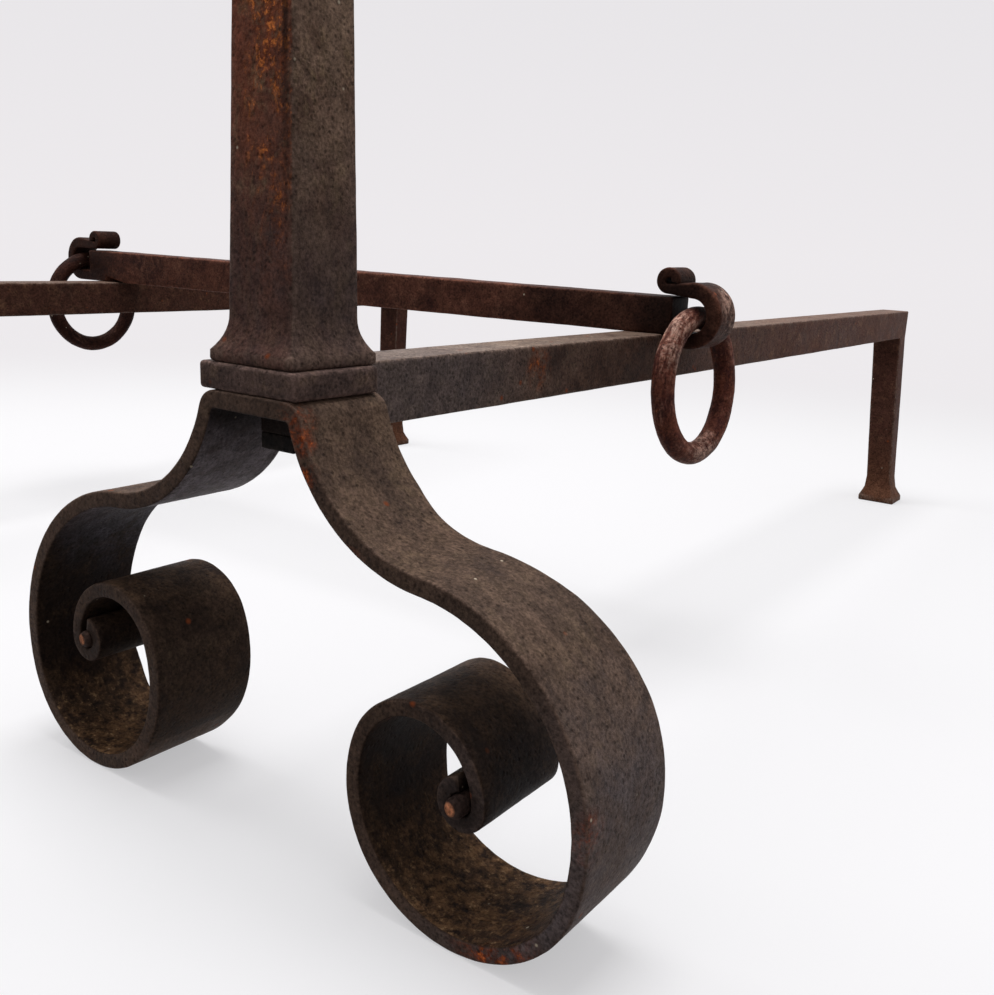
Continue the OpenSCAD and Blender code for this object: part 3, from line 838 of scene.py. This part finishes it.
def mark_soot_and_shade(strap, inner_count):
    """Marks where the strap is black with soot and painted shade, most inside the scrolls and the arch, and
    less on the curls' backs
    """
    soot_and_shade = strap.bm.verts.layers.float.new("soot_and_shade")
    for v in strap.bm.verts:
        number, side = v[strap.run_mark], v[strap.side_mark]
        from_end = min(number, 2 * inner_count - 1 - number)
        back, edge = (0.82, 0.35) if from_end < 2 else (0.68, 0.25) if from_end == 2 else (0.0, 0.0)
        inside = 1.0 if from_end < 5 else 0.8
        v[soot_and_shade] = max(fade(-side, *SKIN) * inside, fade(side, *SKIN) * back, edge)


def scroll_leg(side, iron):
    inner = in_metres(ARCH_RUNS + INNER_RUNS + [EYE_RUN])
    outer = in_metres(ARCH_RUNS + OUTER_RUNS + [EYE_RUN])
    first = backwards(inner, STRAP_T)
    heading = sum(turn for _, turn, _ in first)
    start = Vector((0, 0, PLATE_FOOT - STRAP_T / 2)) - walked(first, heading)
    strap = Strap(STRAP_W, EYE_T, STRAP_EDGE, (start.x, start.z), heading, across=18, up=2, step=STRAP_STEP)
    bm = strap.follow(first + outer)
    eye_x = pin_places("right")[0][0] - middle("right_post").x
    mark_soot_and_shade(strap, len(first))
    hammered_wide(bm, strap.run_mark, len(first), eye_x + (EYE_RUN[0] - 2 * OUTER_RUNS[3][0]) * MM, eye_x)
    on_andiron(bm, side)
    forge(bm, dent=0.25, dent_size=22, grain=0.14, grain_size=3, seed=1.3 if side == "right" else 5.3)
    on_part(bm, side, "scroll_leg", "forged_scrolls", iron)


def eye_pins(side, iron):
    """Pins with a worn, domed front end and a flat rear head"""
    post_y = middle(side + "_post").y
    bm = bmesh.new()
    for (x, z), out, back in zip(pin_places(side), (OUTER_PIN_OUT, INNER_PIN_OUT), (0, INNER_PIN_BACK)):
        front, rear = post_y - STRAP_W / 2 - out, post_y + STRAP_W / 2 + back
        shank = round_bar(PIN_R, PIN_R, rear - front, 90)
        moved(shank, (x, (front + rear) / 2, z))
        rim = [e for e in shank.edges if all(v.co.y < front + TOUCH for v in e.verts)]
        round_edges(shank, rim, PIN_RIM, 5)
        head = round_bar(PIN_HEAD_R, PIN_HEAD_R * PIN_HEAD_TAPER, PIN_HEAD_T, -90)
        moved(head, (x, rear + PIN_HEAD_T / 2, z))
        add(bm, shank)
        add(bm, head)
    forge(bm, dent=0.15, dent_size=3, grain=0.1, grain_size=1.5, seed=7.1)
    on_part(bm, side, "eye_pins", "pins", iron)


def round_bar(first_r, last_r, length, turn):
    bm = bmesh.new()
    bmesh.ops.create_cone(bm, cap_ends=True, segments=PIN_SEGMENTS, radius1=first_r, radius2=last_r,
                          depth=length)
    turned(bm, turn, "X")
    return bm


def plinth(side, iron):
    bm = bmesh.new()
    block(bm, *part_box(side + "_plinth"))
    round_edges(bm, bm.edges[:], PLATE_EDGE, 4)
    refine(bm, longest=2.5 * MM)
    forge(bm, dent=0.2, dent_size=12, grain=0.1, grain_size=4, seed=3.2)
    on_part(bm, side, "plinth", "plate", iron)


def nut(side, iron):
    bm = bmesh.new()
    block(bm, *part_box(side + "_nut"))
    round_edges(bm, bm.edges[:], NUT_EDGE)
    refine(bm, longest=2 * MM)
    forge(bm, dent=0.15, dent_size=5, grain=0.05, grain_size=2, seed=5.8)
    on_part(bm, side, "nut", "square_nut", iron)


def post(side, iron):
    low, high = corners(side + "_post")
    axis = middle(side + "_post")
    foot, shaft, top = (high.x - low.x) / 2, POST_W / 2, POST_TOP_W / 2
    sweep = 2 * math.atan((foot - shaft) / FLARE_H)
    flare_r = FLARE_H / math.sin(sweep)
    flare_foot = DECK + POST_FOOT_H
    flare_top = flare_foot + FLARE_H
    levels = [(foot, DECK), (foot, flare_foot)]
    levels += [(shaft + flare_r * (1 - math.cos(sweep * p)), flare_top - flare_r * math.sin(sweep * p))
               for p in FLARE_PARTS]
    levels += [(top, high.z - POST_POINT_H), (POST_TIP, high.z)]
    bm = bmesh.new()
    bmesh.ops.create_grid(bm, x_segments=1, y_segments=1, size=foot)
    moved(bm, (axis.x, axis.y, DECK))
    end = bm.faces[:][0]
    for (half, z), (new_half, new_z) in zip(levels, levels[1:]):
        end, verts = drawn_out(bm, end)
        bmesh.ops.translate(bm, vec=(0, 0, new_z - z), verts=verts)
        bmesh.ops.scale(bm, vec=(new_half / half, new_half / half, 1), verts=verts,
                        space=Matrix.Translation((-axis.x, -axis.y, 0)))
    bmesh.ops.recalc_face_normals(bm, faces=bm.faces)
    foot_rims = [e for e in sharp_edges(bm, 40) if max(v.co.z for v in e.verts) < flare_foot + TOUCH
                 and abs(e.verts[0].co.z - e.verts[1].co.z) < TOUCH]
    round_edges(bm, foot_rims, POST_FOOT_EDGE, 4)
    round_edges(bm, sharp_edges(bm, 40), POST_EDGE, 2)
    refine(bm, longest=3.5 * MM)
    forge(bm, dent=0.22, dent_size=20, grain=0.1, grain_size=4, seed=2.4)
    on_part(bm, side, "post", "tapered_post", iron)


def billet_bar(side, iron):
    front = STRAP_W / 2
    rear = corners(side + "_billet_bar")[1].y - middle(side + "_post").y - LEG_BACK - FOOT_FLARE
    under = DECK - BAR_H
    nut_low, nut_high = corners(side + "_nut")
    nut_half = (nut_high.y - nut_low.y) / 2
    bm = bmesh.new()
    block(bm, (-BAR_W / 2, front, under), (BAR_W / 2, rear, DECK))
    cut_across(bm, (0, rear - LEG_D, 0), (0, 1, 0))
    # The rear leg grows down from the last stretch of the bar's underside
    end = min((f for f in bm.faces if f.calc_center_median().y > rear - LEG_D and f.normal.z < -0.9),
              key=lambda f: f.calc_center_median().z)
    levels = [(under - (under - FOOT_FLARE_H) * part, 0.0) for part in (0.25, 0.5, 0.75, 1.0)]
    levels += [(FOOT_EDGE_H + FOOT_FLARE * rise, flare) for rise, flare in FOOT_PROFILE] + [(0.0, 1.0)]
    for z, flare in levels:
        end, verts = drawn_out(bm, end)
        down = (under - z) / under
        old = end.calc_center_median()
        half_w = (BAR_W + (LEG_W - BAR_W) * down) / 2 + FOOT_FLARE * flare
        half_d = LEG_D / 2 + FOOT_FLARE * flare
        centre = Vector((LEG_OUT * down, rear - LEG_D / 2 + LEG_BACK * down, z))
        for v in verts:
            corner = (math.copysign(half_w, v.co.x - old.x), math.copysign(half_d, v.co.y - old.y), 0)
            v.co = centre + Vector(corner)
    bmesh.ops.recalc_face_normals(bm, faces=bm.faces)
    round_edges(bm, sharp_edges(bm, 50), BAR_EDGE)
    tongue = bmesh.new()
    block(tongue, (-TONGUE_W / 2, -nut_half, under), (TONGUE_W / 2, front + TONGUE_LAP, PLATE_FOOT - STRAP_T))
    round_edges(tongue, tongue.edges[:], TONGUE_EDGE)
    add(bm, tongue)
    refine(bm, longest=4.5 * MM)
    on_andiron(bm, side)
    forge(bm, dent=0.25, dent_size=24, grain=0.12, grain_size=5, seed=4.6)
    on_part(bm, side, "billet_bar", "bar", iron)


# ---------------------------------------------------------------- crossbar and rings


def strap_hook(place, heading, runs, depth_middle):
    strap = Strap(HOOK_W, HOOK_T, HOOK_EDGE, place, heading, across=10, up=3, step=HOOK_STEP)
    bm = strap.follow(runs)
    round_edges(bm, list(strap.end.edges), HOOK_END_EDGE)
    moved(bm, (0, depth_middle, 0))
    return bm


def right_hook(axis_x, mid_y):
    lead, lead_r, root = 60, 6 * MM, 4 * MM
    hook_x, tip_x, dip = 23.3 * MM, 11.2 * MM, 5.8 * MM
    low = DECK - dip + HOOK_T / 2
    high = DECK + CROSS_RIGHT_H + HOOK_T / 2
    lead_end = hook_x - lead_r * 0.7
    turn = math.radians(lead)
    x = lead_end - lead_r * math.sin(turn) - root * math.cos(turn)
    z = low + lead_r * (1 - math.cos(turn)) + root * math.sin(turn)
    runs = [(root, 0, HOOK_T), (lead_r, -lead, HOOK_T), (hook_x - lead_end, 0, HOOK_T),
            ((high - low) / 2, -180, HOOK_T), (hook_x - tip_x, 0, TIP_T),
            (TIP_R - TIP_T / 2, TIP_TURN, TIP_T)]
    return strap_hook((axis_x + x, z), -lead, runs, mid_y)


def left_hook(axis_x, mid_y):
    hook_x, tip_x, lift = 32.8 * MM, 16 * MM, 1.3 * MM
    low = DECK + HOOK_T / 2
    high = DECK + CROSS_LEFT_H + lift + HOOK_T / 2
    tilt = math.degrees(math.asin(lift / (hook_x - tip_x)))
    runs = [(hook_x - LEFT_ROOT_X, 0, HOOK_T), ((high - low) / 2, -180 - tilt, HOOK_T),
            ((hook_x - tip_x) / math.cos(math.radians(tilt)), 0, TIP_T),
            (TIP_R - TIP_T / 2, TIP_TURN + tilt, TIP_T)]
    bm = strap_hook((LEFT_ROOT_X, low), 0, runs, mid_y)
    mirror_x(bm)
    moved(bm, (axis_x, 0, 0))
    return bm


def crossbar(iron):
    right_x, left_x = middle("right_post").x, middle("left_post").x
    mid_y = middle("crossbar").y
    right_top, left_top = DECK + CROSS_RIGHT_H, DECK + CROSS_LEFT_H
    start_x, end_x = right_x + RIGHT_END, left_x - LEFT_END
    bm = bmesh.new()
    block(bm, (end_x, mid_y - CROSS_D / 2, DECK), (start_x, mid_y + CROSS_D / 2, left_top))
    for x in (left_x - LEFT_ROOT_X, left_x + LEFT_SLOPE_X):
        cut_across(bm, (x, 0, 0), (1, 0, 0))
    for v in bm.verts:
        if v.co.z > DECK + MM:
            v.co.z = left_top + (right_top - left_top) * (v.co.x - end_x) / (start_x - end_x)
        elif v.co.x < left_x:
            v.co.z += LEFT_RISE
    round_edges(bm, sharp_edges(bm, 50), CROSS_EDGE)
    refine(bm, longest=4 * MM)
    add(bm, right_hook(right_x, mid_y))
    add(bm, left_hook(left_x, mid_y))
    forge(bm, dent=0.3, dent_size=16, grain=0.12, grain_size=4, seed=6.7)
    piece(bm, "forged_crossbar", "crossbar", "crossbar", iron)


def ring(side, radius, stock, lean, twist, seed, iron):
    bm = bmesh.new()
    bmesh.ops.create_circle(bm, segments=RING_SEGMENTS, radius=stock / 2)
    turned(bm, 90, "X")
    moved(bm, (radius, 0, 0))
    bmesh.ops.spin(bm, geom=bm.verts[:] + bm.edges[:], cent=(0, 0, 0), axis=(0, 0, 1), dvec=(0, 0, 0),
                   angle=2 * math.pi, steps=RING_STEPS, use_merge=True)
    for degrees, axis in ((90, "Y"), (-lean, "Y"), (-twist, "Z")):
        turned(bm, degrees, axis)
    moved(bm, middle(side + "_ring"))
    bmesh.ops.recalc_face_normals(bm, faces=bm.faces)
    forge(bm, dent=0.45, dent_size=11, grain=0.2, grain_size=2.6, seed=seed)
    piece(bm, side + "_round_ring", side + "_ring", side + "_ring", iron)


# ---------------------------------------------------------------- studio


def floor_paper():
    """White paper that keeps the shadows, and runs out into the backdrop's colour far from the andirons"""
    material = bpy.data.materials.new("floor_paper")
    tree = Nodes(material)
    place, under_camera = tree.add("TexCoord", {}, "Object"), (*camera_place().xy, 0)
    away = tree.add("VectorMath", {0: place, 1: under_camera}, "Value", operation="DISTANCE")
    run_out = tree.add("MapRange", {"Value": away, "From Min": RUN_OUT[0], "From Max": RUN_OUT[1]}, "Result",
                       interpolation_type="SMOOTHSTEP")
    bouncing = tree.add("LightPath", {}, "Is Diffuse Ray")
    layers = ((PAPER_GLOW, tree.add("Emission", {"Color": PAPER}, "Emission")),
              (run_out, tree.add("Emission", {"Color": BACKDROP_LOW}, "Emission")),
              (bouncing, tree.add("BsdfDiffuse", {"Color": PAPER_BOUNCE}, "BSDF")))
    surface = tree.add("BsdfDiffuse", {"Color": PAPER}, "BSDF")
    for share, layer in layers:
        surface = tree.add("MixShader", {0: share, 1: surface, 2: layer}, "Shader")
    tree.add("OutputMaterial", {"Surface": surface})
    return material


def floor():
    bm = bmesh.new()
    bmesh.ops.create_grid(bm, x_segments=1, y_segments=1, size=FLOOR_HALF)
    mesh = bpy.data.meshes.new("floor")
    bm.to_mesh(mesh)
    bm.free()
    obj = bpy.data.objects.new("floor", mesh)
    bpy.context.scene.collection.objects.link(obj)
    mesh.materials.append(floor_paper())


def sky():
    """Light that grows towards the top, and the backdrop's own colours for what the camera sees"""
    world = bpy.data.worlds.new("studio")
    bpy.context.scene.world = world
    tree = Nodes(world)
    place = tree.add("TexCoord", {}, "Generated")
    up = tree.add("SeparateXYZ", {"Vector": place}, "Z")
    low, high = SKY_STRENGTH
    strength = tree.add("MapRange", {"Value": up, "To Min": low, "To Max": high}, "Result")
    rise = tree.add("MapRange", {"Value": up, "From Max": BACKDROP_RISE}, "Result")
    colour = tree.add("Mix", {"Factor": rise, "A": BACKDROP_LOW, "B": BACKDROP}, "Result", data_type="RGBA")
    seen = tree.add("Math", {0: tree.add("LightPath", {}, "Is Camera Ray"),
                             1: tree.add("LightPath", {}, "Is Glossy Ray")}, "Value", operation="MAXIMUM")
    light = tree.add("Background", {"Color": SKY, "Strength": strength}, "Background")
    backdrop = tree.add("Background", {"Color": colour}, "Background")
    surface = tree.add("MixShader", {0: seen, 1: light, 2: backdrop}, "Shader")
    tree.add("OutputWorld", {"Surface": surface})


def lamps():
    for name, place, size, power in LAMPS:
        lamp = bpy.data.lights.new(name, "AREA")
        lamp.size = size
        lamp.energy = power
        obj = bpy.data.objects.new(name, lamp)
        obj.location = place
        obj.rotation_euler = (LAMP_AIM - Vector(place)).to_track_quat("-Z", "Y").to_euler()
        bpy.context.scene.collection.objects.link(obj)


def camera():
    data = bpy.data.cameras.new("camera")
    data.lens = CAMERA_LENS
    data.sensor_fit = "HORIZONTAL"
    data.sensor_width = CAMERA_SENSOR
    data.clip_start = CAMERA_NEAR
    obj = bpy.data.objects.new("camera", data)
    az, down, roll = CAMERA_AZIMUTH, CAMERA_DOWN, CAMERA_ROLL
    ahead = Vector((-math.sin(az) * math.cos(down), math.cos(az) * math.cos(down), -math.sin(down)))
    across = Vector((math.cos(az), math.sin(az), 0))
    up = across.cross(ahead)
    right = across * math.cos(roll) + up * math.sin(roll)
    top = up * math.cos(roll) - across * math.sin(roll)
    turn = Matrix((right, top, -ahead)).transposed().to_4x4()
    obj.matrix_world = Matrix.Translation(camera_place()) @ turn
    bpy.context.scene.collection.objects.link(obj)
    bpy.context.scene.camera = obj


for andiron in ANDIRONS:
    irons = andiron_irons(andiron)
    scroll_leg(andiron, irons["strap"])
    eye_pins(andiron, irons["pin"])
    plinth(andiron, irons["plinth"])
    post(andiron, irons["post"])
    billet_bar(andiron, irons["bar"])
    nut(andiron, irons["nut"])
crossbar(crossbar_iron())
rings = ring_iron()
ring("right", RIGHT_RING_R, RIGHT_STOCK, RIGHT_RING_LEAN, RIGHT_RING_TWIST, 8.2, rings)
ring("left", LEFT_RING_R, LEFT_STOCK, 0, 0, 9.2, rings)
floor()
sky()
lamps()
camera()
bpy.context.scene.view_settings.view_transform = "Standard"
